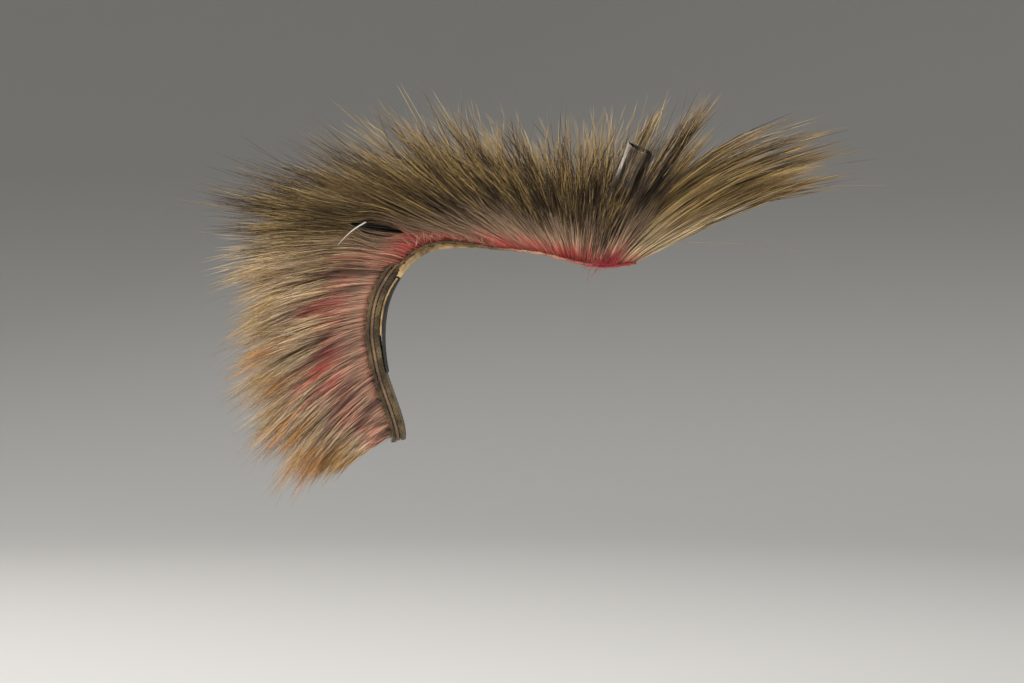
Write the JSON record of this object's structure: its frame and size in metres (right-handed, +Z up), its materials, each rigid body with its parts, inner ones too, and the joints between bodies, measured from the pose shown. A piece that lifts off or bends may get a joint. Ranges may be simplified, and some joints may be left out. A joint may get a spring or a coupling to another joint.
{
  "type": "roach headdress",
  "caption": "Ceremonial roach headdress: rows of long upright hair sewn round a narrow woven base that curves from forehead to nape, with a metal feather socket near the front.",
  "frame": {"origin": "Where the middle of the underside of the base rests on the top of the wearer's head.", "axes": "+X points forward over the forehead, +Z up, and +Y to the wearer's left."},
  "size_m": [0.4541, 0.119, 0.2658],
  "materials": {
    "woven_mat": "coarse woven cord",
    "base_braid": "flat braided cord",
    "twisted_cord": "twisted cord",
    "stitching": "close thread stitches",
    "root_ties": "thread wound round the hair roots",
    "tan_hide": "worn tan hide",
    "dark_leather": "dull black leather",
    "tarnished_metal": "crinkled tarnished sheet",
    "guard_hair": "long coarse hair, dark in the middle and golden at the tips",
    "fringe_hair": "soft dyed hair, rose and red at the roots and pale at the tips"
  },
  "bodies": {
    "root": {"base_mat": "woven_mat", "edge_braid": "base_braid", "nape_cord": "twisted_cord", "nape_stitching": "stitching", "crown_binding": "root_ties", "crown_hide_strip": "tan_hide", "nape_hide_strip": "tan_hide", "dark_strip": "dark_leather", "feather_socket": "tarnished_metal", "guard_front_right": "guard_hair", "guard_front_left": "guard_hair", "guard_crown_right": "guard_hair", "guard_crown_left": "guard_hair", "guard_back_right": "guard_hair", "guard_back_left": "guard_hair", "guard_nape_right": "guard_hair", "guard_nape_left": "guard_hair", "guard_nape_end_right": "guard_hair", "guard_nape_end_left": "guard_hair", "fringe_front_right": "fringe_hair", "fringe_front_left": "fringe_hair", "fringe_crown_right": "fringe_hair", "fringe_crown_left": "fringe_hair", "fringe_back_right": "fringe_hair", "fringe_back_left": "fringe_hair", "fringe_nape_right": "fringe_hair", "fringe_nape_left": "fringe_hair", "fringe_nape_end_right": "fringe_hair", "fringe_nape_end_left": "fringe_hair"}
  },
  "joints": []
}
